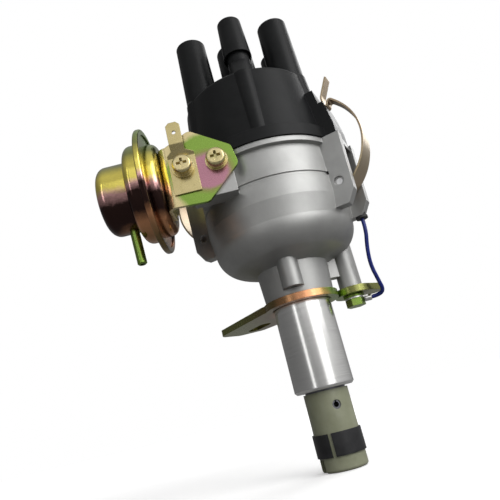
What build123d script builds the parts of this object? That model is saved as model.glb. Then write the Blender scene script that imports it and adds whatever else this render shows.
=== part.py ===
from build123d import *
from math import atan2, ceil, cos, degrees, hypot, pi, radians, sin, tan
import os

# Ignition distributor with a vacuum advance unit, in millimetres.
# The origin is on the shaft axis, on the face of the clamp plate that lies on the engine.
# +Z runs up the shaft to the cap, and the vacuum unit stands out towards -X.

os.makedirs("parts", exist_ok=True)

# Clearances
running_gap = 0.04
press_gap = 0.01
free_gap = 0.3
face_gap = 0.1

# Shank and neck of the housing
shank_r = 13.5
shank_length = 38.8
shank_chamfer = 1.0
shank_relief = 0.3
plate_thickness = 3.2
neck_r = 16.2
neck_top_r = 17.1
neck_top_z = 17.8
shoulder_z = plate_thickness + free_gap

# Bowl of the housing
bowl_r = 35.5
bowl_draft = 1.3
bowl_foot_r = bowl_r - bowl_draft
bowl_foot_z = 33.0
bowl_draft_z = 42.0
bowl_corner_r = 26.0
bowl_corner_z = 21.2
bowl_wall = 3.5
bowl_inner_r = bowl_r - bowl_wall
bowl_inner_corner = 5.0
floor_z = 26.0
rim_z = 69.3
rim_flange = 3.0
rim_reach = 2.1
rim_r = bowl_r + rim_reach
register_depth = 2.0
register_step = 1.8
parting_z = 51.6
parting_width = 1.6
parting_depth = 0.5

# Leg that takes the clamp bolt, and the drain boss in front
bolt_x = 25.7
bolt_y = 6.0
leg_r = 5.5
web_thickness = 5.0
web_foot_z = 10.0
bolt_r = 2.5
bolt_depth = 16.0
drain_boss_r = 4.8
drain_boss_x = -2.5
drain_boss_reach = 20.6
drain_boss_foot_z = 6.0
drain_r = 1.6
drain_depth = 6.0

# Clip bosses, one each side, on a line turned from the X axis
clip_azimuth = -24.6
ear_half = 12.3
clip_slot_half = 7.2
ear_standout = 8.1
ear_reach = bowl_r + ear_standout
ear_draft = 0.9
ear_foot_z = 34.5
lead_ear_foot_z = 33.6
ear_corner = 4.0
pin_standout = 1.7
pin_u = bowl_r + pin_standout
pin_z = 45.9
pin_r = 1.5
pin_sink_r = 2.3
pin_sink_depth = 0.8

# Spring clips
strip = 0.9
strip_foot_half = 6.6
strip_waist_half = 6.0
strip_waist_z = 62.0
strip_top_half = 2.9
bow_u = 66.3
bow_z = 67.3
bow_share = 0.9
hook_u = 42.2
hook_z = 93.2
hook_radius = 1.3
vee_u = 39.9
vee_z = 86.8
vee_radius = 0.8
tab_u = 39.0
tab_z = 94.6
tab_radius = 5.0
tip_u = 44.3
tip_z = 104.4

# Bracket pad on the housing and the vacuum unit
pad_y = -36.5
pad_depth = 9.5
pad_left = -43.0
pad_right = -16.0
pad_foot_z = 49.0
pad_shoulder_x = -34.0
pad_root_y = -14.0
pad_corner_run = 7.0
pad_corner_rise = 8.0
pad_shoulder_rise = 4.0
screw_z = 64.3
screw_left_x = -37.0
screw_right_x = -22.2
screw_depth = 8.0
bracket_thickness = 1.6
bracket_bend = 2.2
vacuum_y = -24.0
vacuum_z = 63.5
sheet = 0.7
cup_r = 21.6
cup_corner = 3.0
cup_hole_r = 5.0
crimp_x = -52.4
crimp_r = 29.2
crimp_fold = 2.4
flange_right_x = -45.8
flange_r = 13.0
shell_r = 23.0
shell_end_x = -62.5
shell_corner = 3.0
can_r = 16.4
can_end_x = -77.2
can_corner = 4.0
nipple_x = -66.2
nipple_r = 2.15
nipple_bore_r = 1.2
nipple_spigot_r = 1.8
nipple_shoulder = 0.6
nipple_chamfer = 0.5
nipple_tip_z = 30.6
nipple_tilt = 3.8
rod_r = 1.5
rod_hole_r = 3.2
diaphragm_thickness = 0.5
diaphragm_plate_r = 15.0
diaphragm_plate_thickness = 1.6
vacuum_spring_r = 8.5
vacuum_spring_turns = 5
vacuum_wire_r = 0.7

# Outline of the bracket plate, seen from the front
bracket_foot_z = 47.0
bracket_left_top_z = 76.5
bracket_peak = (-31.7, 82.2)
bracket_shoulder = (-14.6, 70.4)
bracket_tip = (-13.0, 61.0)
bracket_low = (-29.0, 46.2)
bracket_corner = 3.0
screw_head_r = 4.3
screw_head_height = 2.8
screw_head_round = 1.2
screw_flat_washer = 1.0
screw_spring_washer = 1.1
cross_width = 1.2
cross_length = 4.6
cross_depth = 1.6

# Blade terminal clamped by the left screw
blade_plate_left = -43.0
blade_plate_right = -31.0
blade_plate_foot_z = 52.2
blade_plate_top_z = 69.9
blade_width = 6.3
blade_thickness = 0.8
blade_x = -37.7
blade_step = 3.2
blade_root_z = 75.0
blade_top_z = 85.8
blade_hole_z = 80.6
blade_hole_r = 0.9

# Drive shaft, bushes and coupling
shaft_r = 6.0
bush_r = 8.0
bush_length = 12.0
spindle_r = 4.0
washer_thickness = 0.6
coupling_r = 10.0
coupling_foot_z = -72.0
coupling_round = 1.2
drive_slot = 5.0
drive_slot_depth = 5.5
drive_slot_azimuth = 15.0
roll_pin_r = 1.9
roll_pin_z = -46.0
roll_pin_azimuth = -75.0
ring_band = 0.7
ring_top_z = -56.6
ring_foot_z = -65.9
ring_gap_azimuth = -112.0
ring_gap = 1.6
ring_gap_eye_r = 1.6

# Centrifugal advance
governor_r = 23.0
governor_thickness = 2.0
governor_z = 28.0
post_radius = 15.0
post_r = 2.0
weight_thickness = 5.0
weight_inner = 11.6
weight_outer = 21.4
weight_span = 118.0
weight_heel = 12.0
weight_eye = 2.5
toe_radius = 8.0
toe_pin_r = 1.4
toe_r = 2.1
yoke_thickness = 2.0
yoke_half_length = 14.5
yoke_half_width = 6.5
toe_play = 0.2
toe_travel = 2.4
spring_post_azimuth = 148.0
spring_post_r = 1.2
spring_hook_r = 0.8
spring_hook_x = 12.4
spring_hook_y = 4.2
governor_spring_r = 1.6
governor_wire_r = 0.3

# Cam and rotor
cam_sleeve_r = 6.0
cam_flat = 7.6
cam_tip_r = 8.6
cam_foot_z = 57.0
cam_top_z = 68.5
rotor_seat_top_z = 82.0
rotor_hub_r = 9.5
rotor_foot_z = 70.0
rotor_top_z = 88.0
rotor_arm_z = 82.0
rotor_arm_half = 6.0
rotor_tip = 21.6
contact_strip = 1.0
contact_half = 2.4
spark_gap = 0.8

# Breaker plates and contact points
base_plate_z = 54.0
base_plate_thickness = 1.5
base_plate_gap = 0.4
base_plate_r = bowl_inner_r - base_plate_gap
collar_r = 13.0
collar_wall = 2.0
collar_top_z = 58.2
base_screw_r = 1.5
base_screw_depth = 6.0
base_screw_head_r = 2.6
base_screw_head = 1.6
lug_inset = 3.0
lug_radius = bowl_inner_r - lug_inset
lug_r = 3.2
lug_height = 8.0
window_inset = 7.0
window_length = 10.0
window_width = 5.0
advance_plate_z = 56.0
advance_plate_thickness = 1.6
advance_plate_inset = 6.0
advance_plate_r = bowl_inner_r - advance_plate_inset
link_radius = 24.0
link_azimuth = -85.0
link_pin_r = 1.5
link_pin_top_z = 65.0
link_play = 0.15
link_eye_r = 3.3
link_eye_thickness = 2.4
arm_pivot_x = 19.0
arm_y = 13.0
arm_half = 1.5
arm_foot_z = 60.5
arm_top_z = 66.5
arm_tip_x = -18.0
arm_post_r = 1.6
arm_boss = 1.4
arm_eye = 1.8
block_half = 2.4
block_gap = 0.15
point_x = -15.6
point_r = 2.0
point_gap = 0.5
point_face = 0.8
bracket_sheet = 1.2
contact_foot = 6.5
leaf_thickness = 0.4
leaf_root = 7.0
leaf_bow = 5.6
leaf_height = 3.0
condenser_r = 4.6
condenser_length = 15.0
condenser_x = -19.6
condenser_y = -6.4

# Cap
cap_foot_z = rim_z + face_gap
cap_flange_step = 2.8
cap_flange_r = bowl_r + cap_flange_step
cap_flange_top_z = 75.4
cap_wall_step = 0.7
cap_wall_foot_r = bowl_r + cap_wall_step
cap_roof_r = 33.4
cap_roof_z = 111.0
cap_roof_round = 2.0
cap_wall = 3.6
cap_roof_wall = 6.0
tower_circle = 25.8
tower_count = 6
front_tower_azimuth = -91.0
tower_root_r = 8.6
tower_top_r = 7.7
tower_top_z = 146.6
socket_r = 4.2
socket_foot_z = 122.0
stem_r = 5.6
sleeve_foot_z = 123.0
sleeve_foot_r = 7.05
sleeve_top_r = 6.0
front_tower_top_z = 144.4
rib_foot_circle = 31.6
rib_top_circle = 29.4
rib_shoulder_z = 118.5
rib_knee_drop = 1.2
coil_tower_r = 9.4
coil_tower_top_z = 147.6
coil_socket_r = 4.5
coil_seat_r = 4.2
post_terminal_r = 2.6
post_terminal_foot_z = 84.0
terminal_head = 3.0
lug_half = 9.0
cap_lug_foot_u = 42.2
cap_lug_shoulder_z = 76.6
cap_lug_seat_u = 40.5
cap_lug_inner_u = 38.2
cap_lug_top_u = 37.3
cap_lug_top_z = 96.8
brush_r = 2.4
brush_length = 10.0
brush_spring_turns = 5
brush_boss_r = 6.0
brush_boss_foot_z = 96.0

# Clamp plate
clamp_hub_ring = 4.3
clamp_arm = [(-16.4, -6.0), (-43.8, 32.4), (-34.0, 42.6), (-20.6, 42.6), (-12.8, 36.0), (12.0, 13.5)]
clamp_arm_corner = 4.5
clamp_ear = (26.0, 6.0, 9.0)
clamp_ear_tip = (36.0, 9.0, 4.5)
slot_azimuth = 126.0
slot_inner = 33.0
slot_outer = 43.0
slot_half = 3.3
adjust_back = 2.0
adjust_on = 9.0
bore_chamfer = 0.6

# Clamp bolt, ring terminal and blue lead
bolt_head_flat = 8.0
bolt_head_height = 3.5
bolt_washer_r = 5.0
bolt_washer_thickness = 1.0
ring_terminal_r = 4.4
ring_terminal_thickness = 0.8
barrel_r = 1.5
barrel_length = 3.0
lead_r = 0.95
grommet_r = 2.2
grommet_length = 4.0
grommet_flange_r = 2.8
grommet_flange = 1.2
grommet_standout = 2.1
grommet_u = bowl_r + grommet_standout
grommet_t = 9.6


def save(piece, name):
    """Label a finished piece and write it under its own name."""
    piece.label = name
    export_step(piece, f"parts/{name}.step")


def radial_plane(azimuth, offset=0.0):
    """Upright plane through the axis: x runs outward at the azimuth and y runs up."""
    turn = radians(azimuth)
    plane = Plane(origin=(0, 0, 0), x_dir=(cos(turn), sin(turn), 0), z_dir=(sin(turn), -cos(turn), 0))
    return plane.offset(offset)


def outward(azimuth, radius, across=0.0):
    """Point at a radius on the azimuth, moved square to it by across."""
    turn = radians(azimuth)
    return (radius * cos(turn) - across * sin(turn), radius * sin(turn) + across * cos(turn))


bolt_circle = hypot(bolt_x, bolt_y)
bolt_azimuth = degrees(atan2(bolt_y, bolt_x))
register_r = bowl_inner_r + register_step
clip_azimuths = {"right": clip_azimuth, "left": clip_azimuth + 180}
vacuum_axis = Axis((0, vacuum_y, vacuum_z), (1, 0, 0))

# Housing: one casting with shank, neck, bowl, clip bosses, leg and bracket pad
with BuildPart() as housing:
    with BuildSketch(Plane.XZ):
        with BuildLine():
            Polyline(
                (0, rim_z),
                (0, -shank_length),
                (shank_r - shank_chamfer, -shank_length),
                (shank_r, -shank_length + shank_chamfer),
                (shank_r, 0),
                (shank_r - shank_relief, 0),
                (shank_r - shank_relief, shoulder_z),
                (neck_r, shoulder_z),
                (neck_top_r, neck_top_z),
                (bowl_corner_r, bowl_corner_z),
            )
            ThreePointArc(
                (bowl_corner_r, bowl_corner_z),
                (
                    bowl_corner_r + 0.70 * (bowl_foot_r - bowl_corner_r),
                    bowl_corner_z + 0.36 * (bowl_foot_z - bowl_corner_z),
                ),
                (bowl_foot_r, bowl_foot_z),
            )
            Polyline(
                (bowl_foot_r, bowl_foot_z),
                (bowl_r, bowl_draft_z),
                (bowl_r, rim_z - rim_flange),
                (rim_r, rim_z - rim_flange + 0.4),
                (rim_r, rim_z),
                (0, rim_z),
            )
        make_face()
    revolve(axis=Axis.Z)

    # leg for the clamp bolt, with the web that ties it to the neck
    with BuildSketch(Plane.XY.offset(shoulder_z)):
        with Locations((bolt_x, bolt_y)):
            Circle(leg_r)
    extrude(amount=bowl_foot_z - shoulder_z)
    with BuildSketch(radial_plane(bolt_azimuth, -web_thickness / 2)):
        with BuildLine():
            Polyline(
                (neck_r - 2, web_foot_z),
                (bolt_circle, web_foot_z),
                (bolt_circle, bowl_foot_z - bowl_wall),
                (neck_r - 2, bowl_foot_z - bowl_wall),
                close=True,
            )
        make_face()
    extrude(amount=web_thickness)

    # drain boss on the front of the neck
    with BuildSketch(Plane.XY.offset(drain_boss_foot_z)):
        with Locations((drain_boss_x, drain_boss_r - drain_boss_reach)):
            Circle(drain_boss_r)
        with Locations((drain_boss_x, (drain_boss_r - drain_boss_reach) / 2)):
            Rectangle(2 * drain_boss_r, drain_boss_reach - drain_boss_r)
    extrude(amount=bowl_corner_z - drain_boss_foot_z + 1)

    # clip bosses: two ears and the lug of the rim that joins their tops
    for side, azimuth in clip_azimuths.items():
        for flank in (-1, 1):
            foot = lead_ear_foot_z if (side, flank) == ("right", -1) else ear_foot_z
            with BuildSketch(radial_plane(azimuth, flank * clip_slot_half)):
                with BuildLine():
                    Polyline(
                        (bowl_inner_r - 1, foot),
                        (ear_reach - ear_draft - ear_corner, foot),
                        (ear_reach - ear_draft, foot + 1.5 * ear_corner),
                        (ear_reach, rim_z),
                        (bowl_inner_r - 1, rim_z),
                        close=True,
                    )
                make_face()
            extrude(amount=flank * (ear_half - clip_slot_half))
        with BuildSketch(radial_plane(azimuth, -clip_slot_half)):
            with BuildLine():
                Polyline(
                    (bowl_inner_r, rim_z - rim_flange),
                    (ear_reach - ear_draft, rim_z - rim_flange),
                    (ear_reach - ear_draft, rim_z),
                    (bowl_inner_r, rim_z),
                    close=True,
                )
            make_face()
        extrude(amount=2 * clip_slot_half)

    # pad for the vacuum unit's bracket, with a shoulder round the pull rod
    with BuildSketch(Plane.XZ.offset(-pad_y - pad_depth)):
        with BuildLine():
            Polyline(
                (pad_right, rim_z - face_gap),
                (pad_left, rim_z - face_gap),
                (pad_left, pad_foot_z + pad_corner_rise),
                (pad_left + pad_corner_run, pad_foot_z),
                (pad_right, pad_foot_z),
                close=True,
            )
        make_face()
    extrude(amount=pad_depth)
    with BuildSketch(Plane.XZ.offset(-pad_root_y)):
        with BuildLine():
            Polyline(
                (pad_right, rim_z - rim_flange),
                (pad_shoulder_x, rim_z - rim_flange),
                (pad_shoulder_x, pad_foot_z + pad_shoulder_rise),
                (pad_right, pad_foot_z),
                close=True,
            )
        make_face()
    extrude(amount=pad_root_y - pad_y - pad_depth + 1)

    # round the outer corners of the pad
    pad_edges = housing.edges().filter_by(Axis.Y).group_by(Axis.X)[0]
    fillet(pad_edges, radius=2.0)

    # bowl, register for the cap and through bore for the bushes
    with BuildSketch(Plane.XZ):
        with BuildLine():
            Polyline(
                (0, rim_z),
                (register_r, rim_z),
                (register_r, rim_z - register_depth),
                (bowl_inner_r, rim_z - register_depth),
                (bowl_inner_r, floor_z + bowl_inner_corner),
            )
            RadiusArc(
                (bowl_inner_r, floor_z + bowl_inner_corner),
                (bowl_inner_r - bowl_inner_corner, floor_z),
                bowl_inner_corner,
            )
            Polyline((bowl_inner_r - bowl_inner_corner, floor_z), (0, floor_z), (0, rim_z))
        make_face()
    revolve(axis=Axis.Z, mode=Mode.SUBTRACT)
    with BuildSketch(Plane.XY.offset(-shank_length)):
        Circle(bush_r)
    extrude(amount=shank_length + floor_z, mode=Mode.SUBTRACT)

    # lugs inside the bowl that carry the breaker base plate
    with BuildSketch(Plane.XY.offset(base_plate_z)):
        with PolarLocations(lug_radius, 3, start_angle=30):
            Circle(lug_r)
        with PolarLocations(lug_radius + lug_r, 3, start_angle=30):
            Rectangle(2 * lug_r, 2 * lug_r)
        with BuildSketch(mode=Mode.INTERSECT):
            Circle(bowl_inner_r + bowl_wall / 2)
    extrude(amount=-lug_height)

    with BuildSketch(Plane.XY.offset(base_plate_z)):
        with PolarLocations(lug_radius, 3, start_angle=30):
            Circle(base_screw_r + press_gap)
    extrude(amount=-base_screw_depth, mode=Mode.SUBTRACT)

    # parting line round the bowl
    with BuildSketch(Plane.XZ):
        with Locations((bowl_r, parting_z)):
            Rectangle(2 * parting_depth, parting_width)
    revolve(axis=Axis.Z, mode=Mode.SUBTRACT)

    # holes: clamp bolt, drain, bracket screws, pull rod, clip pins, lead outlet
    with BuildSketch(Plane.XY.offset(shoulder_z)):
        with Locations((bolt_x, bolt_y)):
            Circle(bolt_r + press_gap)
    extrude(amount=bolt_depth, mode=Mode.SUBTRACT)
    with BuildSketch(Plane.XY.offset(drain_boss_foot_z)):
        with Locations((drain_boss_x, drain_boss_r - drain_boss_reach)):
            Circle(drain_r)
    extrude(amount=drain_depth, mode=Mode.SUBTRACT)
    with BuildSketch(Plane.XZ.offset(-pad_y)):
        with Locations((screw_left_x, screw_z), (screw_right_x, screw_z)):
            Circle(bolt_r + press_gap)
    extrude(amount=-screw_depth, mode=Mode.SUBTRACT)
    with BuildSketch(Plane.YZ.offset(pad_left - 1)):
        with Locations((vacuum_y, vacuum_z)):
            Circle(rod_hole_r)
    extrude(amount=pad_right - pad_left, mode=Mode.SUBTRACT)
    for azimuth in clip_azimuths.values():
        with BuildSketch(radial_plane(azimuth, -ear_half)):
            with Locations((pin_u, pin_z)):
                Circle(pin_r + press_gap)
        extrude(amount=2 * ear_half, mode=Mode.SUBTRACT)
        with BuildSketch(radial_plane(azimuth, -clip_slot_half)):
            with Locations((pin_u, pin_z)):
                Circle(pin_r + running_gap + strip + free_gap)
        extrude(amount=2 * clip_slot_half, mode=Mode.SUBTRACT)
        for flank in (-1, 1):
            with BuildSketch(radial_plane(azimuth, flank * ear_half)):
                with Locations((pin_u, pin_z)):
                    Circle(pin_sink_r)
            extrude(amount=-flank * pin_sink_depth, mode=Mode.SUBTRACT)
    with BuildSketch(Plane.XY.offset(lead_ear_foot_z)):
        with Locations(outward(clip_azimuth, grommet_u, grommet_t)):
            Circle(grommet_r + press_gap)
    extrude(amount=grommet_length, mode=Mode.SUBTRACT)
save(housing.part, "housing")

# Bushes: two plain bronze bearings pressed into the shank
for name, foot_z in (("shaft_bush_lower", -shank_length + 0.8), ("shaft_bush_upper", floor_z - bush_length)):
    with BuildPart() as bush:
        with BuildSketch(Plane.XY.offset(foot_z)):
            Circle(bush_r - press_gap)
            Circle(shaft_r + running_gap, mode=Mode.SUBTRACT)
        extrude(amount=bush_length)
        chamfer(bush.edges().filter_by(GeomType.CIRCLE).group_by(SortBy.RADIUS)[0], length=0.3)
    save(bush.part, name)

# Drive shaft: journal below, slimmer spindle above for the cam sleeve
governor_top_z = governor_z + governor_thickness
coupling_top_z = -shank_length - face_gap - washer_thickness
spindle_top_z = rotor_seat_top_z - 1.5
with BuildPart() as drive_shaft:
    with BuildSketch(Plane.XZ):
        with BuildLine():
            Polyline(
                (0, coupling_foot_z + drive_slot_depth + 0.5),
                (shaft_r, coupling_foot_z + drive_slot_depth + 0.5),
                (shaft_r, governor_top_z),
                (spindle_r, governor_top_z),
                (spindle_r, spindle_top_z),
                (0, spindle_top_z),
                close=True,
            )
        make_face()
    revolve(axis=Axis.Z)
    chamfer(drive_shaft.edges().sort_by(Axis.Z)[-1], length=0.5)
    with BuildSketch(radial_plane(roll_pin_azimuth + 90)):
        with Locations((0, roll_pin_z)):
            Circle(roll_pin_r + press_gap)
    extrude(amount=shaft_r + 1, both=True, mode=Mode.SUBTRACT)
save(drive_shaft.part, "drive_shaft")

with BuildPart() as thrust_washer:
    with BuildSketch(Plane.XY.offset(coupling_top_z)):
        Circle(bush_r + 1)
        Circle(shaft_r + running_gap, mode=Mode.SUBTRACT)
    extrude(amount=washer_thickness)
save(thrust_washer.part, "thrust_washer")

# Coupling: nylon sleeve with a slot across its foot for the engine's drive tongue
with BuildPart() as coupling:
    with BuildSketch(Plane.XY.offset(coupling_foot_z)):
        Circle(coupling_r)
    extrude(amount=coupling_top_z - coupling_foot_z)
    fillet(coupling.edges().sort_by(Axis.Z)[0], radius=coupling_round)
    with BuildSketch(Plane.XY.offset(coupling_foot_z + drive_slot_depth)):
        Circle(shaft_r + press_gap)
    extrude(amount=coupling_top_z - coupling_foot_z, mode=Mode.SUBTRACT)
    with BuildSketch(Plane.XY.offset(coupling_foot_z).rotated((0, 0, drive_slot_azimuth))):
        Rectangle(2 * coupling_r, drive_slot)
    extrude(amount=drive_slot_depth, mode=Mode.SUBTRACT)
    with BuildSketch(radial_plane(roll_pin_azimuth + 90)):
        with Locations((0, roll_pin_z)):
            Circle(roll_pin_r + press_gap)
    extrude(amount=coupling_r, both=True, mode=Mode.SUBTRACT)
save(coupling.part, "drive_coupling")

# Roll pin: rolled spring steel with an open seam
with BuildPart() as roll_pin:
    with BuildSketch(radial_plane(roll_pin_azimuth + 90)):
        with Locations((0, roll_pin_z)):
            Circle(roll_pin_r)
            Circle(roll_pin_r * 0.6, mode=Mode.SUBTRACT)
        with Locations((0, roll_pin_z + roll_pin_r)):
            Rectangle(roll_pin_r * 0.3, 2 * roll_pin_r, mode=Mode.SUBTRACT)
    extrude(amount=coupling_r - 0.6, both=True)
save(roll_pin.part, "roll_pin")

# Retaining ring: spring band round the coupling, with eyes cut at its gap
with BuildPart() as retaining_ring:
    with BuildSketch(Plane.XY.offset(ring_foot_z)):
        Circle(coupling_r + running_gap + ring_band)
        Circle(coupling_r + running_gap, mode=Mode.SUBTRACT)
    extrude(amount=ring_top_z - ring_foot_z)
    with BuildSketch(Plane.XY.offset(ring_foot_z).rotated((0, 0, ring_gap_azimuth))):
        with Locations((coupling_r, 0)):
            Rectangle(4 * ring_band, ring_gap)
    extrude(amount=ring_top_z - ring_foot_z, mode=Mode.SUBTRACT)
    with BuildSketch(radial_plane(ring_gap_azimuth + 90)):
        with Locations((0, (ring_top_z + ring_foot_z) / 2)):
            Circle(ring_gap_eye_r)
    extrude(amount=-coupling_r - 2 * ring_band, mode=Mode.SUBTRACT)
save(retaining_ring.part, "retaining_ring")

# Governor: base plate fixed to the shaft, with a pivot post for each flyweight
weight_z = governor_top_z + face_gap
yoke_z = weight_z + weight_thickness + face_gap
yoke_top_z = yoke_z + yoke_thickness
governor_spring_z = yoke_top_z + governor_spring_r + governor_wire_r + face_gap
spring_post_radius = governor_r - 3
with BuildPart() as governor_plate:
    with BuildSketch(Plane.XY.offset(floor_z + face_gap)):
        Circle(shaft_r + 3)
    extrude(amount=governor_z - floor_z)
    with BuildSketch(Plane.XY.offset(governor_z)):
        Circle(governor_r)
        with BuildSketch(mode=Mode.INTERSECT):
            Rectangle(2 * governor_r, 1.7 * governor_r)
    extrude(amount=governor_thickness)
    with BuildSketch(Plane.XY.offset(governor_z)):
        with PolarLocations(post_radius, 2):
            Circle(post_r)
    extrude(amount=governor_thickness + face_gap + weight_thickness)
    with BuildSketch(Plane.XY.offset(governor_z)):
        with PolarLocations(spring_post_radius, 2, start_angle=spring_post_azimuth):
            Circle(spring_post_r)
    extrude(amount=governor_spring_z + 1 - governor_z)
    with BuildSketch(Plane.XY.offset(floor_z)):
        Circle(shaft_r + press_gap)
    extrude(amount=governor_top_z - floor_z, mode=Mode.SUBTRACT)
save(governor_plate.part, "governor_plate")

# Flyweights: two crescents that swing out on the posts and push the yoke by a pin
for number in (1, 2):
    weight_plane = Plane.XY.offset(weight_z).rotated((0, 0, 180 * (number - 1)))
    with BuildPart() as flyweight:
        with BuildSketch(weight_plane):
            Circle(weight_outer)
            Circle(weight_inner, mode=Mode.SUBTRACT)
            with BuildSketch(mode=Mode.INTERSECT):
                with BuildLine():
                    Polyline(
                        (0, 0),
                        outward(-weight_heel, 2 * governor_r),
                        outward(weight_span / 2, 3 * governor_r),
                        outward(weight_span, 2 * governor_r),
                        close=True,
                    )
                make_face()
            with Locations((post_radius, 0)):
                Circle(post_r + weight_eye)
            with Locations((toe_radius, 0)):
                Circle(toe_r)
            with Locations(((post_radius + toe_radius) / 2, 0)):
                Rectangle(post_radius - toe_radius, 2 * toe_r)
            with Locations((post_radius, 0)):
                Circle(post_r + running_gap, mode=Mode.SUBTRACT)
        extrude(amount=weight_thickness)
        with BuildSketch(weight_plane):
            with Locations((toe_radius, 0)):
                Circle(toe_pin_r)
        extrude(amount=weight_thickness + face_gap + yoke_thickness)
    save(flyweight.part, f"flyweight_{number}")

# Cam sleeve: yoke plate below, six-lobed cam in the middle, rotor seat on top
with BuildPart() as cam_sleeve:
    with BuildSketch(Plane.XY.offset(yoke_z)):
        Rectangle(2 * yoke_half_length, 2 * yoke_half_width)
        with BuildSketch(mode=Mode.INTERSECT):
            Circle(yoke_half_length)
        with GridLocations(2 * toe_radius + toe_travel / 2, 0, 2, 1):
            Rectangle(2 * toe_pin_r + toe_travel, 2 * (toe_pin_r + toe_play), mode=Mode.SUBTRACT)
    extrude(amount=yoke_thickness)
    with BuildSketch(Plane.XY.offset(yoke_z)):
        with Locations((spring_hook_x, -spring_hook_y), (-spring_hook_x, spring_hook_y)):
            Circle(spring_hook_r)
    extrude(amount=governor_spring_z + 1 - yoke_z)
    with BuildSketch(Plane.XY.offset(yoke_z)):
        Circle(cam_sleeve_r)
    extrude(amount=rotor_seat_top_z - yoke_z)
    with BuildSketch(Plane.XY.offset(cam_foot_z)):
        RegularPolygon(radius=cam_flat, side_count=tower_count, major_radius=False)
        with BuildSketch(mode=Mode.INTERSECT):
            Circle(cam_tip_r)
    extrude(amount=cam_top_z - cam_foot_z)
    with BuildSketch(Plane.XY.offset(yoke_z)):
        Circle(spindle_r + running_gap)
    extrude(amount=rotor_seat_top_z - yoke_z, mode=Mode.SUBTRACT)
save(cam_sleeve.part, "cam_sleeve")

# Advance springs: two close-wound coils that hold the yoke back against the flyweights
with BuildPart() as advance_springs:
    for turn in (0, 180):
        anchor = Vector(*outward(spring_post_azimuth + turn, spring_post_radius), governor_spring_z)
        hook = Vector(-spring_hook_x, spring_hook_y, governor_spring_z).rotate(Axis.Z, turn)
        pull = (hook - anchor).normalized()
        coil_start = anchor + pull * (spring_post_r + 2 * governor_wire_r)
        coil_end = hook - pull * (spring_hook_r + 2 * governor_wire_r)
        coil_length = (coil_end - coil_start).length
        coil_turns = ceil(coil_length / (1.8 * governor_wire_r))
        with BuildSketch(Plane(origin=coil_start, x_dir=pull, z_dir=(0, 0, 1))):
            with Locations((coil_length / 2, governor_spring_r)):
                with GridLocations(coil_length / coil_turns, 0, coil_turns + 1, 1):
                    Circle(governor_wire_r)
            for coil_foot in (0, coil_length):
                with Locations((coil_foot, governor_spring_r / 2)):
                    Rectangle(governor_wire_r, governor_spring_r)
        revolve(axis=Axis(coil_start, pull))
        for centre, hold_r in ((anchor, spring_post_r), (hook, spring_hook_r)):
            with BuildSketch(Plane.XY.offset(governor_spring_z - governor_wire_r)):
                with Locations((centre.X, centre.Y)):
                    Circle(hold_r + 2.5 * governor_wire_r)
                    Circle(hold_r + 0.5 * governor_wire_r, mode=Mode.SUBTRACT)
            extrude(amount=2 * governor_wire_r)
save(advance_springs.part, "advance_springs")

# Rotor: moulded arm on the cam sleeve, with the brass strip that carries the spark
rotor_plane = Plane.XY.rotated((0, 0, front_tower_azimuth))
contact_tip = tower_circle - post_terminal_r - spark_gap
with BuildPart() as rotor:
    with BuildSketch(Plane.XY.offset(rotor_foot_z)):
        Circle(rotor_hub_r)
    extrude(amount=rotor_top_z - rotor_foot_z, taper=2)
    with BuildSketch(rotor_plane.offset(rotor_arm_z)):
        with Locations(((rotor_tip - contact_strip) / 2, 0)):
            Rectangle(rotor_tip - contact_strip, 2 * rotor_arm_half)
        with Locations((-rotor_hub_r / 2, 0)):
            Rectangle(1.4 * rotor_hub_r, 1.2 * rotor_arm_half)
    extrude(amount=rotor_top_z - rotor_arm_z)
    fillet(rotor.edges().filter_by(Axis.Z), radius=1.0)
    with BuildSketch(Plane.XY.offset(rotor_foot_z)):
        Circle(cam_sleeve_r + press_gap)
    extrude(amount=rotor_seat_top_z + face_gap - rotor_foot_z, mode=Mode.SUBTRACT)
save(rotor.part, "rotor")

with BuildPart() as rotor_contact:
    with BuildSketch(rotor_plane.offset(rotor_top_z)):
        Circle(contact_half * 1.6)
        with Locations((contact_tip / 2, 0)):
            Rectangle(contact_tip, 2 * contact_half)
    extrude(amount=contact_strip)
    with BuildSketch(rotor_plane.offset(rotor_arm_z)):
        with Locations(((contact_tip + rotor_tip - contact_strip) / 2, 0)):
            Rectangle(contact_tip - rotor_tip + contact_strip, 2 * contact_half)
    extrude(amount=rotor_top_z + contact_strip - rotor_arm_z)
save(rotor_contact.part, "rotor_contact")

# Breaker base plate: screwed to the lugs of the bowl, with a collar for the advance plate
with BuildPart() as base_plate:
    with BuildSketch(Plane.XY.offset(base_plate_z)):
        Circle(base_plate_r)
        with PolarLocations(lug_radius, 3, start_angle=30):
            Circle(base_screw_r + press_gap, mode=Mode.SUBTRACT)
        with PolarLocations(lug_radius - window_inset, 3, start_angle=90):
            SlotOverall(window_length, window_width, rotation=90, mode=Mode.SUBTRACT)
    extrude(amount=base_plate_thickness)
    with BuildSketch(Plane.XY.offset(base_plate_z)):
        Circle(collar_r)
    extrude(amount=collar_top_z - base_plate_z)
    with BuildSketch(Plane.XY.offset(base_plate_z)):
        Circle(collar_r - collar_wall)
    extrude(amount=collar_top_z - base_plate_z, mode=Mode.SUBTRACT)
save(base_plate.part, "breaker_base_plate")

base_plate_top_z = base_plate_z + base_plate_thickness
with BuildPart() as base_plate_screws:
    with BuildSketch(Plane.XY.offset(base_plate_top_z)):
        with PolarLocations(lug_radius, 3, start_angle=30):
            Circle(base_screw_head_r)
            Rectangle(0.7, 3 * base_screw_head_r, mode=Mode.SUBTRACT)
    extrude(amount=base_screw_head)
    with BuildSketch(Plane.XY.offset(base_plate_top_z + base_screw_head / 2)):
        with PolarLocations(lug_radius, 3, start_angle=30):
            Circle(base_screw_r)
    extrude(amount=-base_screw_head / 2 - base_plate_thickness - base_screw_depth + face_gap)
save(base_plate_screws.part, "base_plate_screws")

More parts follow.
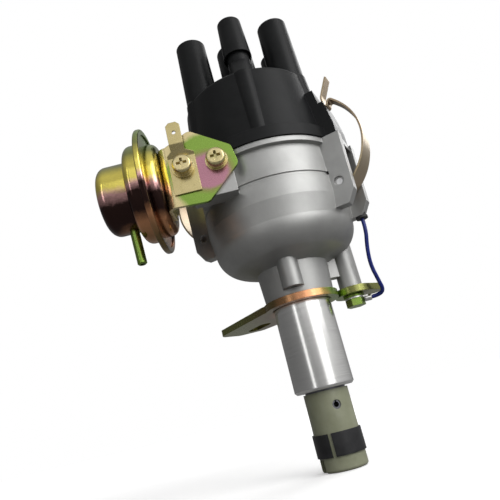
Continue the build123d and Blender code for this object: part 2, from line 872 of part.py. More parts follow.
# Advance plate: carries the contact points and turns on the collar when the rod pulls
advance_plate_top_z = advance_plate_z + advance_plate_thickness
with BuildPart() as advance_plate:
    with BuildSketch(Plane.XY.offset(advance_plate_z)):
        Circle(advance_plate_r)
        Circle(collar_r + running_gap, mode=Mode.SUBTRACT)
    extrude(amount=advance_plate_thickness)
    with BuildSketch(Plane.XY.offset(advance_plate_z)):
        with Locations(outward(link_azimuth, link_radius)):
            Circle(link_pin_r)
    extrude(amount=link_pin_top_z - advance_plate_z)
    with BuildSketch(Plane.XY.offset(advance_plate_z)):
        with Locations((arm_pivot_x, arm_y)):
            Circle(arm_post_r)
    extrude(amount=arm_top_z + 0.8 - advance_plate_z)
    with BuildSketch(Plane.XY.offset(advance_plate_z)):
        with Locations((arm_pivot_x, arm_y)):
            Circle(arm_post_r + arm_boss)
    extrude(amount=arm_foot_z - face_gap - advance_plate_z)
save(advance_plate.part, "advance_plate")

# Contact arm: pivots on its post, with a fibre block against the cam
arm_face_y = arm_y - arm_half
moving_point_y = arm_face_y - point_face
fixed_point_y = moving_point_y - point_gap
point_z = (arm_foot_z + arm_top_z) / 2
with BuildPart() as contact_arm:
    with BuildSketch(Plane.XY.offset(arm_foot_z)):
        with Locations(((arm_pivot_x + arm_tip_x) / 2, arm_y)):
            Rectangle(arm_pivot_x - arm_tip_x, 2 * arm_half)
        with Locations((arm_pivot_x, arm_y)):
            Circle(arm_post_r + arm_eye)
        with Locations((0, (arm_y + cam_tip_r + block_gap) / 2)):
            Rectangle(2 * block_half, arm_y - cam_tip_r - block_gap)
        with Locations((arm_pivot_x, arm_y)):
            Circle(arm_post_r + running_gap, mode=Mode.SUBTRACT)
    extrude(amount=arm_top_z - arm_foot_z)
    with BuildSketch(Plane.XZ.offset(-arm_face_y)):
        with Locations((point_x, point_z)):
            Circle(point_r)
    extrude(amount=point_face)
save(contact_arm.part, "contact_arm")

with BuildPart() as fixed_contact:
    with BuildSketch(Plane.YZ.offset(point_x - point_r)):
        with BuildLine():
            Polyline(
                (fixed_point_y - point_face - contact_foot, advance_plate_top_z),
                (fixed_point_y - point_face, advance_plate_top_z),
                (fixed_point_y - point_face, arm_top_z),
                (fixed_point_y - point_face - bracket_sheet, arm_top_z),
                (fixed_point_y - point_face - bracket_sheet, advance_plate_top_z + bracket_sheet),
                (fixed_point_y - point_face - contact_foot, advance_plate_top_z + bracket_sheet),
                close=True,
            )
        make_face()
    extrude(amount=-point_r, both=True)
    with BuildSketch(Plane.XZ.offset(point_face - fixed_point_y)):
        with Locations((point_x, point_z)):
            Circle(point_r)
    extrude(amount=-point_face)
save(fixed_contact.part, "fixed_contact")

# Leaf spring that presses the contact arm towards the cam
leaf_root_y = arm_y + leaf_root
leaf_foot_z = point_z - leaf_height / 2
with BuildPart() as contact_spring:
    with BuildSketch(Plane.XY.offset(advance_plate_top_z)):
        with Locations((arm_tip_x, leaf_root_y)):
            Rectangle(leaf_height, leaf_height)
    extrude(amount=leaf_foot_z + leaf_height - advance_plate_top_z)
    with BuildSketch(Plane.XY.offset(leaf_foot_z)):
        with BuildLine():
            ThreePointArc(
                (arm_tip_x, leaf_root_y),
                (arm_tip_x / 2, arm_y + leaf_bow),
                (block_half, arm_y + arm_half + face_gap),
            )
            ThreePointArc(
                (block_half, arm_y + arm_half + face_gap),
                (arm_tip_x / 2, arm_y + leaf_bow + leaf_thickness),
                (arm_tip_x, leaf_root_y + leaf_thickness),
            )
            Line((arm_tip_x, leaf_root_y + leaf_thickness), (arm_tip_x, leaf_root_y))
        make_face()
    extrude(amount=leaf_height)
save(contact_spring.part, "contact_spring")

# Condenser: small can on the advance plate, held by its clip
with BuildPart() as condenser:
    with BuildSketch(Plane.XZ.offset(-condenser_y - condenser_length / 2)):
        with Locations((condenser_x, advance_plate_top_z + condenser_r)):
            Circle(condenser_r)
    extrude(amount=condenser_length)
    fillet(condenser.edges().filter_by(GeomType.CIRCLE), radius=0.8)
save(condenser.part, "condenser")

# Cap: moulded shell with six plug towers, a coil tower and two lugs for the clips
roof_under_z = cap_roof_z - cap_roof_wall
vee_turn = atan2(hook_u - vee_u, hook_z - vee_z) + atan2(vee_u - tab_u, tab_z - vee_z)
vee_height = vee_z + vee_radius / sin(vee_turn / 2) - vee_radius - strip / 2
seat_z = vee_height - free_gap
coil_socket_foot_z = cap_roof_z + 1
tower_root_z = cap_roof_z - cap_roof_wall / 2
rib_knee_z = cap_roof_z - rib_knee_drop
with BuildPart() as cap:
    with BuildSketch(Plane.XZ):
        with BuildLine():
            Polyline(
                (0, cap_roof_z),
                (0, cap_foot_z - register_depth + face_gap),
                (register_r - free_gap, cap_foot_z - register_depth + face_gap),
                (register_r - free_gap, cap_foot_z),
                (cap_flange_r, cap_foot_z),
                (cap_flange_r, cap_flange_top_z),
                (cap_wall_foot_r, cap_flange_top_z + 0.8),
                (cap_roof_r, cap_roof_z),
                close=True,
            )
        make_face()
    revolve(axis=Axis.Z)
    fillet(cap.edges().filter_by(GeomType.CIRCLE).sort_by(Axis.Z)[-1], radius=cap_roof_round)

    # lugs that the clips press on
    for azimuth in clip_azimuths.values():
        with BuildSketch(radial_plane(azimuth, -lug_half)):
            with BuildLine():
                Polyline(
                    (bowl_inner_r - 2, cap_foot_z),
                    (cap_lug_foot_u, cap_foot_z),
                    (cap_lug_foot_u, cap_lug_shoulder_z),
                    (cap_lug_seat_u, seat_z),
                    (cap_lug_inner_u, seat_z),
                    (cap_lug_top_u, cap_lug_top_z),
                    (bowl_inner_r - 2, cap_lug_top_z),
                    close=True,
                )
            make_face()
        extrude(amount=2 * lug_half)

    # plug towers: five plain ones, and the front one as a sleeve on a slimmer stem
    for number in range(tower_count):
        azimuth = front_tower_azimuth + number * 360 / tower_count
        front = number == 0
        top_z = front_tower_top_z if front else tower_top_z
        with BuildSketch(Plane.XY.offset(tower_root_z)):
            with Locations(outward(azimuth, tower_circle)):
                Circle(stem_r if front else tower_root_r)
        with BuildSketch(Plane.XY.offset(top_z)):
            with Locations(outward(azimuth, tower_circle)):
                Circle(sleeve_top_r - 0.4 if front else tower_top_r)
        loft()
        with BuildSketch(Plane.XY.offset(cap_flange_top_z - 1)):
            with Locations(outward(azimuth, rib_foot_circle)):
                Circle(stem_r)
        with BuildSketch(Plane.XY.offset(rib_knee_z)):
            with Locations(outward(azimuth, rib_top_circle)):
                Circle(stem_r)
        loft()
        with BuildSketch(Plane.XY.offset(rib_knee_z)):
            with Locations(outward(azimuth, rib_top_circle)):
                Circle(stem_r)
        with BuildSketch(Plane.XY.offset(rib_shoulder_z)):
            with Locations(outward(azimuth, tower_circle)):
                Circle(stem_r)
        loft()
        if front:
            with BuildSketch(Plane.XY.offset(sleeve_foot_z)):
                with Locations(outward(azimuth, tower_circle)):
                    Circle(sleeve_foot_r)
            with BuildSketch(Plane.XY.offset(top_z)):
                with Locations(outward(azimuth, tower_circle)):
                    Circle(sleeve_top_r)
            loft()

    # coil tower
    with BuildSketch(Plane.XY.offset(tower_root_z)):
        Circle(coil_tower_r + 0.6)
    with BuildSketch(Plane.XY.offset(coil_tower_top_z)):
        Circle(coil_tower_r)
    loft()

    # hollow underside, with bosses for the plug posts and for the brush
    with BuildSketch(Plane.XZ):
        with BuildLine():
            Polyline(
                (0, cap_foot_z - register_depth),
                (bowl_inner_r, cap_foot_z - register_depth),
                (bowl_inner_r, cap_flange_top_z),
                (cap_roof_r - cap_wall, roof_under_z),
                (0, roof_under_z),
                close=True,
            )
        make_face()
    revolve(axis=Axis.Z, mode=Mode.SUBTRACT)
    with BuildSketch(Plane.XY.offset(roof_under_z + 1)):
        with PolarLocations(tower_circle, tower_count, start_angle=front_tower_azimuth):
            Circle(post_terminal_r + 1.8)
    extrude(amount=-(roof_under_z + 1 - rotor_top_z - 4))
    with BuildSketch(Plane.XY.offset(roof_under_z + 1)):
        Circle(brush_boss_r)
    extrude(amount=-(roof_under_z + 1 - brush_boss_foot_z))

    # bores for posts, plugs, brush and coil lead
    with BuildSketch(Plane.XY.offset(rotor_top_z)):
        with PolarLocations(tower_circle, tower_count, start_angle=front_tower_azimuth):
            Circle(post_terminal_r + press_gap)
    extrude(amount=socket_foot_z - rotor_top_z, mode=Mode.SUBTRACT)
    with BuildSketch(Plane.XY.offset(socket_foot_z)):
        with PolarLocations(tower_circle, tower_count, start_angle=front_tower_azimuth):
            Circle(socket_r)
    extrude(amount=tower_top_z - socket_foot_z, mode=Mode.SUBTRACT)
    with BuildSketch(Plane.XY.offset(brush_boss_foot_z)):
        Circle(brush_r + running_gap)
    extrude(amount=coil_socket_foot_z - brush_boss_foot_z, mode=Mode.SUBTRACT)
    with BuildSketch(Plane.XY.offset(coil_socket_foot_z)):
        Circle(coil_seat_r)
    extrude(amount=terminal_head, mode=Mode.SUBTRACT)
    with BuildSketch(Plane.XY.offset(coil_socket_foot_z + terminal_head)):
        Circle(coil_socket_r)
    extrude(amount=coil_tower_top_z - coil_socket_foot_z, mode=Mode.SUBTRACT)
save(cap.part, "cap")

# Plug terminals moulded into the cap: a post inside and a cup in each socket
with BuildPart() as cap_terminals:
    with BuildSketch(Plane.XY.offset(post_terminal_foot_z)):
        with PolarLocations(tower_circle, tower_count, start_angle=front_tower_azimuth):
            Circle(post_terminal_r)
    extrude(amount=socket_foot_z + 1 - post_terminal_foot_z)
    with BuildSketch(Plane.XY.offset(socket_foot_z)):
        with PolarLocations(tower_circle, tower_count, start_angle=front_tower_azimuth):
            Circle(socket_r - press_gap)
    extrude(amount=terminal_head)
    with BuildSketch(Plane.XY.offset(socket_foot_z + terminal_head)):
        with PolarLocations(tower_circle, tower_count, start_angle=front_tower_azimuth):
            Circle(socket_r - 0.9)
    extrude(amount=1 - terminal_head, mode=Mode.SUBTRACT)
save(cap_terminals.part, "cap_terminals")

with BuildPart() as coil_terminal:
    with BuildSketch(Plane.XY.offset(coil_socket_foot_z)):
        Circle(coil_seat_r - press_gap)
    extrude(amount=terminal_head)
    with BuildSketch(Plane.XY.offset(coil_socket_foot_z + terminal_head)):
        Circle(coil_seat_r - 0.9)
    extrude(amount=1 - terminal_head, mode=Mode.SUBTRACT)
save(coil_terminal.part, "coil_terminal")

# Carbon brush that rides on the middle of the rotor strip, and its spring
brush_foot_z = rotor_top_z + contact_strip + face_gap
brush_top_z = brush_foot_z + brush_length
with BuildPart() as carbon_brush:
    with BuildSketch(Plane.XY.offset(brush_foot_z)):
        Circle(brush_r)
    extrude(amount=brush_length)
    fillet(carbon_brush.edges().sort_by(Axis.Z)[0], radius=0.8)
save(carbon_brush.part, "carbon_brush")

with BuildPart() as brush_spring:
    spring_run = coil_socket_foot_z - brush_top_z - 2 * governor_wire_r - 2 * face_gap
    with BuildLine() as coil_path:
        Helix(
            pitch=spring_run / brush_spring_turns,
            height=spring_run,
            radius=brush_r - 3 * governor_wire_r,
            center=(0, 0, brush_top_z + governor_wire_r + face_gap),
        )
    with BuildSketch(Plane(origin=coil_path.line @ 0, z_dir=coil_path.line % 0)):
        Circle(governor_wire_r)
    sweep(path=coil_path.line, is_frenet=True)
save(brush_spring.part, "brush_spring")

# Spring clips: bowed strips that hook over the cap, with an eye round a pin at the foot.
# One is made along +X, and each side gets a copy turned to its own azimuth.
eye_r = pin_r + running_gap + strip / 2
exit_turn = atan2(bow_z - pin_z, bow_u - pin_u)
exit_turn += atan2(eye_r, hypot(bow_u - pin_u, bow_z - pin_z))
bow_turn = pi - atan2(hook_z - bow_z, bow_u - hook_u) - exit_turn
bow_radius = bow_share * hypot(bow_u - hook_u, hook_z - bow_z) / tan(bow_turn / 2)
strip_plane = Plane.XZ.offset(-strip_foot_half)
with BuildPart() as spring_clip:
    with BuildLine(Plane.XZ) as strip_path:
        FilletPolyline(
            (pin_u + eye_r * sin(exit_turn), pin_z - eye_r * cos(exit_turn)),
            (bow_u, bow_z),
            (hook_u, hook_z),
            (vee_u, vee_z),
            (tab_u, tab_z),
            (tip_u, tip_z),
            radius=[bow_radius, hook_radius, vee_radius, tab_radius],
        )
    with BuildSketch(Plane(origin=strip_path.line @ 0, x_dir=(0, 1, 0), z_dir=strip_path.line % 0)):
        Rectangle(2 * strip_foot_half, strip)
    sweep(path=strip_path.line)
    with BuildSketch(strip_plane):
        with Locations((pin_u, pin_z)):
            Circle(eye_r + strip / 2)
    extrude(amount=2 * strip_foot_half)
    with BuildSketch(strip_plane):
        with Locations((pin_u, pin_z)):
            Circle(eye_r - strip / 2)
    extrude(amount=2 * strip_foot_half, mode=Mode.SUBTRACT)
    with BuildSketch(Plane.YZ):
        with BuildLine():
            Polyline(
                (-strip_foot_half, pin_z - 4),
                (strip_foot_half, pin_z - 4),
                (strip_foot_half, pin_z + 4),
                (strip_waist_half, strip_waist_z),
                (strip_top_half, vee_z),
                (strip_top_half, tip_z + strip),
                (-strip_top_half, tip_z + strip),
                (-strip_top_half, vee_z),
                (-strip_waist_half, strip_waist_z),
                (-strip_foot_half, pin_z + 4),
                close=True,
            )
        make_face()
    extrude(amount=bow_u, mode=Mode.INTERSECT)
for side, azimuth in clip_azimuths.items():
    save(spring_clip.part.rotate(Axis.Z, azimuth), f"clip_{side}")

with BuildPart() as clip_pins:
    for azimuth in clip_azimuths.values():
        with BuildSketch(radial_plane(azimuth, pin_sink_depth - ear_half)):
            with Locations((pin_u, pin_z)):
                Circle(pin_r)
        extrude(amount=2 * (ear_half - pin_sink_depth))
save(clip_pins.part, "clip_pins")

# Vacuum unit: stations along its axis, from the bracket outward
flange_left_x = flange_right_x - bracket_thickness
inner_flange_x = crimp_x - sheet
diaphragm_x = inner_flange_x - sheet
outer_flange_x = diaphragm_x - diaphragm_thickness
vacuum_section = Plane.XZ.offset(-vacuum_y)
nipple_root_z = vacuum_z - can_r + sheet
nipple_plane = Plane(
    origin=(nipple_x, vacuum_y, nipple_root_z),
    x_dir=(cos(radians(nipple_tilt)), 0, sin(radians(nipple_tilt))),
    z_dir=(sin(radians(nipple_tilt)), 0, -cos(radians(nipple_tilt))),
)

# Inner shell: pressed cup between the bracket and the crimp
with BuildPart() as vacuum_shell_inner:
    with BuildSketch(vacuum_section):
        with BuildLine():
            FilletPolyline(
                (flange_left_x - sheet / 2, vacuum_z + cup_hole_r),
                (flange_left_x - sheet / 2, vacuum_z + cup_r - sheet / 2),
                (inner_flange_x - sheet / 2, vacuum_z + cup_r - sheet / 2),
                radius=cup_corner,
            )
            offset(amount=sheet / 2, side=Side.BOTH)
        make_face()
        with BuildLine():
            Polyline(
                (inner_flange_x, vacuum_z + cup_r - sheet),
                (inner_flange_x, vacuum_z + crimp_r - sheet - free_gap),
                (diaphragm_x, vacuum_z + crimp_r - sheet - free_gap),
                (diaphragm_x, vacuum_z + cup_r - sheet),
                close=True,
            )
        make_face()
    revolve(axis=vacuum_axis)
save(vacuum_shell_inner.part, "vacuum_shell_inner")

# Outer shell: stepped cover with the small can, its rim rolled over the inner shell
with BuildPart() as vacuum_shell_outer:
    with BuildSketch(vacuum_section):
        with BuildLine():
            FilletPolyline(
                (crimp_x - sheet / 2, vacuum_z + crimp_r - crimp_fold),
                (crimp_x - sheet / 2, vacuum_z + crimp_r - sheet / 2),
                (outer_flange_x - sheet / 2, vacuum_z + crimp_r - sheet / 2),
                (outer_flange_x - sheet / 2, vacuum_z + shell_r - sheet / 2),
                (shell_end_x + sheet / 2, vacuum_z + shell_r - sheet / 2),
                (shell_end_x + sheet / 2, vacuum_z + can_r - sheet / 2),
                (can_end_x + sheet / 2, vacuum_z + can_r - sheet / 2),
                (can_end_x + sheet / 2, vacuum_z + sheet),
                radius=[0.5, 0.5, 0.8, shell_corner, 1.2, can_corner],
            )
            offset(amount=sheet / 2, side=Side.BOTH)
        make_face()
        with BuildLine():
            Polyline(
                (can_end_x, vacuum_z),
                (can_end_x, vacuum_z + 2 * sheet),
                (can_end_x + sheet, vacuum_z + 2 * sheet),
                (can_end_x + sheet, vacuum_z),
                close=True,
            )
        make_face()
    revolve(axis=vacuum_axis)
    with BuildSketch(nipple_plane):
        Circle(nipple_spigot_r + press_gap)
    extrude(amount=nipple_r, both=True, mode=Mode.SUBTRACT)
save(vacuum_shell_outer.part, "vacuum_shell_outer")

# Nipple for the vacuum hose, with a spigot brazed into the can
nipple_length = nipple_root_z - nipple_tip_z
with BuildPart() as vacuum_nipple:
    with BuildSketch(nipple_plane):
        Circle(nipple_spigot_r)
    extrude(amount=nipple_length)
    with BuildSketch(nipple_plane.offset(sheet + nipple_shoulder)):
        Circle(nipple_r)
    extrude(amount=nipple_length - sheet - nipple_shoulder)
    chamfer(vacuum_nipple.edges().filter_by(GeomType.CIRCLE).sort_by(Axis.Z)[0], length=nipple_chamfer)
    with BuildSketch(nipple_plane):
        Circle(nipple_bore_r)
    extrude(amount=nipple_length, mode=Mode.SUBTRACT)
save(vacuum_nipple.part, "vacuum_nipple")

# Diaphragm: rubber ring held in the crimp, with the moving plate in its middle
with BuildPart() as diaphragm:
    with BuildSketch(vacuum_section):
        with BuildLine():
            Polyline(
                (diaphragm_x, vacuum_z + crimp_r - sheet - free_gap),
                (diaphragm_x, vacuum_z + diaphragm_plate_r + free_gap),
                (outer_flange_x, vacuum_z + diaphragm_plate_r + free_gap),
                (outer_flange_x, vacuum_z + crimp_r - sheet - free_gap),
                close=True,
            )
        make_face()
    revolve(axis=vacuum_axis)
save(diaphragm.part, "diaphragm")

plate_face_x = diaphragm_x + (diaphragm_plate_thickness - diaphragm_thickness) / 2
with BuildPart() as diaphragm_plate:
    with BuildSketch(Plane.YZ.offset(plate_face_x)):
        with Locations((vacuum_y, vacuum_z)):
            Circle(diaphragm_plate_r)
            Circle(rod_r + press_gap, mode=Mode.SUBTRACT)
    extrude(amount=-diaphragm_plate_thickness)
save(diaphragm_plate.part, "diaphragm_plate")

spring_seat_x = plate_face_x - diaphragm_plate_thickness - face_gap
vacuum_spring_run = spring_seat_x - can_end_x - sheet - 2 * vacuum_wire_r - face_gap
with BuildPart() as vacuum_spring:
    with BuildLine() as coil_path:
        Helix(
            pitch=vacuum_spring_run / vacuum_spring_turns,
            height=vacuum_spring_run,
            radius=vacuum_spring_r,
            center=(spring_seat_x - vacuum_wire_r, vacuum_y, vacuum_z),
            direction=(-1, 0, 0),
        )
    with BuildSketch(Plane(origin=coil_path.line @ 0, z_dir=coil_path.line % 0)):
        Circle(vacuum_wire_r)
    sweep(path=coil_path.line, is_frenet=True)
save(vacuum_spring.part, "vacuum_spring")

# Pull rod: from the diaphragm to the pin of the advance plate
link_at = outward(link_azimuth, link_radius)
with BuildPart() as pull_rod:
    with BuildSketch(Plane.YZ.offset(plate_face_x - diaphragm_plate_thickness)):
        with Locations((vacuum_y, vacuum_z)):
            Circle(rod_r)
    extrude(amount=link_at[0] - link_eye_r + 0.6 - plate_face_x + diaphragm_plate_thickness)
    with BuildSketch(Plane.XY.offset(vacuum_z - link_eye_thickness / 2)):
        with Locations((link_at[0], vacuum_y)):
            Circle(link_eye_r)
            Circle(link_pin_r + link_play, mode=Mode.SUBTRACT)
    extrude(amount=link_eye_thickness)
save(pull_rod.part, "pull_rod")

# Bracket: plate against the housing pad, bent back into the flange of the vacuum unit
bend_outer = bracket_bend + bracket_thickness
bend_x = flange_left_x + bend_outer
bend_y = pad_y - bracket_thickness + bend_outer
bracket_front_y = pad_y - bracket_thickness
screws = {"left": (screw_left_x, screw_z), "right": (screw_right_x, screw_z)}
with BuildPart() as vacuum_bracket:
    with BuildSketch(Plane.XZ.offset(-pad_y)):
        with BuildLine():
            Polyline(
                (bend_x, bracket_foot_z),
                (bend_x, bracket_left_top_z),
                bracket_peak,
                bracket_shoulder,
                bracket_tip,
                bracket_low,
                close=True,
            )
        make_face()
        with Locations(*screws.values()):
            Circle(bolt_r + free_gap, mode=Mode.SUBTRACT)
    extrude(amount=bracket_thickness)
    outer_corners = vacuum_bracket.edges().filter_by(Axis.Y).filter_by(GeomType.LINE)
    fillet(outer_corners.sort_by(Axis.X)[2:], radius=bracket_corner)
    with BuildSketch(Plane.XY.offset(bracket_foot_z)):
        with Locations((bend_x, bend_y)):
            Circle(bend_outer)
            Circle(bracket_bend, mode=Mode.SUBTRACT)
            Rectangle(bend_outer, bend_outer, align=(Align.MAX, Align.MAX), mode=Mode.INTERSECT)
    extrude(amount=bracket_left_top_z - bracket_foot_z)
    with BuildSketch(Plane.YZ.offset(flange_right_x)):
        with Locations((bend_y, (bracket_foot_z + bracket_left_top_z) / 2)):
            Rectangle(vacuum_y - bend_y, bracket_left_top_z - bracket_foot_z, align=(Align.MIN, Align.CENTER))
        with Locations((vacuum_y, vacuum_z)):
            Circle(flange_r)
        with BuildSketch(mode=Mode.INTERSECT):
            with Locations((bend_y, vacuum_z)):
                Rectangle(4 * flange_r, 4 * flange_r, align=(Align.MIN, Align.CENTER))
        with Locations((vacuum_y, vacuum_z)):
            Circle(cup_hole_r, mode=Mode.SUBTRACT)
    extrude(amount=-bracket_thickness)
save(vacuum_bracket.part, "vacuum_bracket")

# Blade terminal: flat tag under the left screw, stepped forward into the blade
blade_plate_y = bracket_front_y - blade_thickness
blade_path_y = bracket_front_y - blade_thickness / 2
with BuildPart() as blade_terminal:
    with BuildSketch(Plane.YZ.offset(blade_plate_left)):
        with BuildLine():
            FilletPolyline(
                (blade_path_y, blade_plate_foot_z),
                (blade_path_y, blade_plate_top_z),
                (blade_path_y - blade_step, blade_root_z),
                (blade_path_y - blade_step, blade_top_z),
                radius=1.2,
            )
            offset(amount=blade_thickness / 2, side=Side.BOTH)
        make_face()
    extrude(amount=blade_plate_right - blade_plate_left)
    with BuildSketch(Plane.XZ.offset(-blade_path_y - blade_step - 1)):
        with BuildLine():
            Polyline(
                (blade_plate_left, blade_plate_foot_z),
                (blade_plate_left, blade_plate_top_z + 1),
                (blade_x - blade_width / 2, blade_plate_top_z + 2.5),
                (blade_x - blade_width / 2, blade_top_z - 1.5),
                (blade_x - blade_width / 2 + 1.5, blade_top_z),
                (blade_x + blade_width / 2 - 1.5, blade_top_z),
                (blade_x + blade_width / 2, blade_top_z - 1.5),
                (blade_x + blade_width / 2, blade_plate_top_z + 2.5),
                (blade_plate_right, blade_plate_top_z + 1),
                (blade_plate_right, blade_plate_foot_z),
                close=True,
            )
        make_face()
        with Locations(screws["left"]):
            Circle(bolt_r + free_gap, mode=Mode.SUBTRACT)
        with Locations((blade_x, blade_hole_z)):
            Circle(blade_hole_r, mode=Mode.SUBTRACT)
    extrude(amount=2 * blade_step + 4, both=True, mode=Mode.INTERSECT)
save(blade_terminal.part, "blade_terminal")

# Screws and washers that hold the bracket and the blade terminal
seats = {"left": blade_plate_y, "right": bracket_front_y}
with BuildPart() as bracket_washers:
    for side, place in screws.items():
        with BuildSketch(Plane.XZ.offset(-seats[side])):
            with Locations(place):
                Circle(bolt_washer_r)
                Circle(bolt_r + free_gap / 2, mode=Mode.SUBTRACT)
        extrude(amount=screw_flat_washer)
save(bracket_washers.part, "bracket_washers")

with BuildPart() as spring_washers:
    for side, place in screws.items():
        with BuildSketch(Plane.XZ.offset(-seats[side] + screw_flat_washer)):
            with Locations(place):
                Circle(screw_head_r + 0.2)
                Circle(bolt_r + free_gap / 2, mode=Mode.SUBTRACT)
            with Locations((place[0] + screw_head_r, place[1])):
                Rectangle(2 * screw_head_r, 0.6, mode=Mode.SUBTRACT)
        extrude(amount=screw_spring_washer)
save(spring_washers.part, "spring_washers")

with BuildPart() as bracket_screws:
    for side, place in screws.items():
        with BuildSketch(Plane.XZ.offset(-seats[side] + screw_flat_washer + screw_spring_washer)):
            with Locations(place):
                Circle(screw_head_r)
        extrude(amount=screw_head_height)
    rims = bracket_screws.edges().filter_by(GeomType.CIRCLE).group_by(Axis.Y)
    fillet(rims[0] + rims[1], radius=screw_head_round)
    for side, place in screws.items():
        head_y = seats[side] - screw_flat_washer - screw_spring_washer
        with BuildSketch(Plane.XZ.offset(screw_head_height - head_y)):
            with Locations(place):
                Rectangle(cross_length, cross_width)
                Rectangle(cross_width, cross_length)
        extrude(amount=-cross_depth, mode=Mode.SUBTRACT)
        with BuildSketch(Plane.XZ.offset(-head_y)):
            with Locations(place):
                Circle(bolt_r)
        extrude(amount=head_y - pad_y - screw_depth + free_gap)
save(bracket_screws.part, "bracket_screws")

# Clamp plate: fixes the housing to the engine and lets it turn for timing
bolt_slot_r = bolt_r + free_gap
slot_start = bolt_azimuth - adjust_on
slot_end = bolt_azimuth + adjust_back
with BuildPart() as clamp_plate:
    with BuildSketch():
        with BuildLine():
            Polyline(*clamp_arm, close=True)
        make_face()
    extrude(amount=plate_thickness)
    fillet(clamp_plate.edges().filter_by(Axis.Z), radius=clamp_arm_corner)
    with BuildSketch():
        with Locations(clamp_ear[:2]):
            Circle(clamp_ear[2])
        with Locations(clamp_ear_tip[:2]):
            Circle(clamp_ear_tip[2])
        make_hull()
    extrude(amount=plate_thickness)
    with BuildSketch():
        Circle(shank_r + clamp_hub_ring)
    extrude(amount=plate_thickness)
    with BuildSketch():
        Circle(shank_r + free_gap)
    extrude(amount=plate_thickness, mode=Mode.SUBTRACT)
    with BuildSketch():
        Circle(shank_r + free_gap + bore_chamfer)
    extrude(amount=bore_chamfer, taper=45, mode=Mode.SUBTRACT)
    with BuildSketch(Plane.XY.rotated((0, 0, slot_azimuth))):
        with Locations(((slot_inner + slot_outer) / 2, 0)):
            SlotCenterToCenter(slot_outer - slot_inner, 2 * slot_half)
    extrude(amount=plate_thickness, mode=Mode.SUBTRACT)
    with BuildSketch():
        with BuildLine():
            CenterArc((0, 0), bolt_circle - bolt_slot_r, slot_start, slot_end - slot_start)
            CenterArc((0, 0), bolt_circle + bolt_slot_r, slot_start, slot_end - slot_start)
            CenterArc(outward(slot_start, bolt_circle), bolt_slot_r, slot_start + 180, 180)
            CenterArc(outward(slot_end, bolt_circle), bolt_slot_r, slot_end, 180)
        make_face()
    extrude(amount=plate_thickness, mode=Mode.SUBTRACT)
save(clamp_plate.part, "clamp_plate")

# Clamp bolt with its washer and the ring terminal of the lead, from below
bolt_washer_z = -face_gap
ring_z = bolt_washer_z - bolt_washer_thickness
bolt_head_z = ring_z - ring_terminal_thickness
with BuildPart() as clamp_washer:
    with BuildSketch(Plane.XY.offset(bolt_washer_z)):
        with Locations((bolt_x, bolt_y)):
            Circle(bolt_washer_r)
            Circle(bolt_r + free_gap / 2, mode=Mode.SUBTRACT)
    extrude(amount=-bolt_washer_thickness)
save(clamp_washer.part, "clamp_washer")

with BuildPart() as clamp_bolt:
    with BuildSketch(Plane.XY.offset(bolt_head_z)):
        with Locations((bolt_x, bolt_y)):
            RegularPolygon(radius=bolt_head_flat / 2, side_count=6, major_radius=False)
    extrude(amount=-bolt_head_height)
    with BuildSketch(Plane.XY.offset(bolt_head_z)):
        with Locations((bolt_x, bolt_y)):
            Circle(bolt_r)
    extrude(amount=shoulder_z + bolt_depth - free_gap - bolt_head_z)
save(clamp_bolt.part, "clamp_bolt")

barrel_start_x = bolt_x + bolt_head_flat / 2 / cos(radians(30)) + free_gap
barrel_end_x = barrel_start_x + barrel_length
barrel_z = ring_z - barrel_r
with BuildPart() as ring_terminal:
    with BuildSketch(Plane.XY.offset(ring_z)):
        with Locations((bolt_x, bolt_y)):
            Circle(ring_terminal_r)
        with Locations((barrel_start_x, bolt_y)):
            Rectangle(barrel_length, 2 * barrel_r)
        with Locations((bolt_x, bolt_y)):
            Circle(bolt_r + free_gap / 2, mode=Mode.SUBTRACT)
    extrude(amount=-ring_terminal_thickness)
    with BuildSketch(Plane.YZ.offset(barrel_start_x)):
        with Locations((bolt_y, barrel_z)):
            Circle(barrel_r)
    extrude(amount=barrel_length)
save(ring_terminal.part, "ring_terminal")

# Earth lead: from the rubber grommet under the far ear down to the ring terminal
grommet_x, grommet_y = outward(clip_azimuth, grommet_u, grommet_t)
grommet_foot_z = lead_ear_foot_z - grommet_flange
with BuildPart() as lead_grommet:
    with BuildSketch(Plane.XY.offset(grommet_foot_z)):
        with Locations((grommet_x, grommet_y)):
            Circle(grommet_flange_r)
    extrude(amount=grommet_flange)
    with BuildSketch(Plane.XY.offset(lead_ear_foot_z)):
        with Locations((grommet_x, grommet_y)):
            Circle(grommet_r)
    extrude(amount=grommet_length - free_gap)
save(lead_grommet.part, "lead_grommet")

lead_points = [
    Vector(grommet_x, grommet_y, grommet_foot_z),
    Vector(grommet_x, grommet_y, 26.6),
    Vector(36.6, -4.8, 19.0),
    Vector(36.2, -2.2, 10.8),
    Vector(38.0, -0.2, 3.4),
    Vector(39.6, 2.6, -1.6),
    Vector(barrel_end_x + 3.2, bolt_y, barrel_z),
    Vector(barrel_end_x, bolt_y, barrel_z),
]
lead_radii = []
for before, corner, after in zip(lead_points, lead_points[1:], lead_points[2:]):
    shorter = min((corner - before).length, (after - corner).length)
    turn = (corner - before).get_angle(after - corner)
    lead_radii.append(0.45 * shorter / tan(radians(turn / 2)))
print("lead radii", [round(radius, 1) for radius in lead_radii])
with BuildPart() as blue_lead:
    with BuildLine() as lead_route:
        FilletPolyline(*lead_points, radius=lead_radii)
    with BuildSketch(Plane(origin=lead_route.line @ 0, z_dir=lead_route.line % 0)):
        Circle(lead_r)
    sweep(path=lead_route.line)
save(blue_lead.part, "blue_lead")
print("lead length", round(lead_route.wires()[0].length, 1))
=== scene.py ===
from math import cos, radians, sin

import bpy
from mathutils import Matrix, Vector


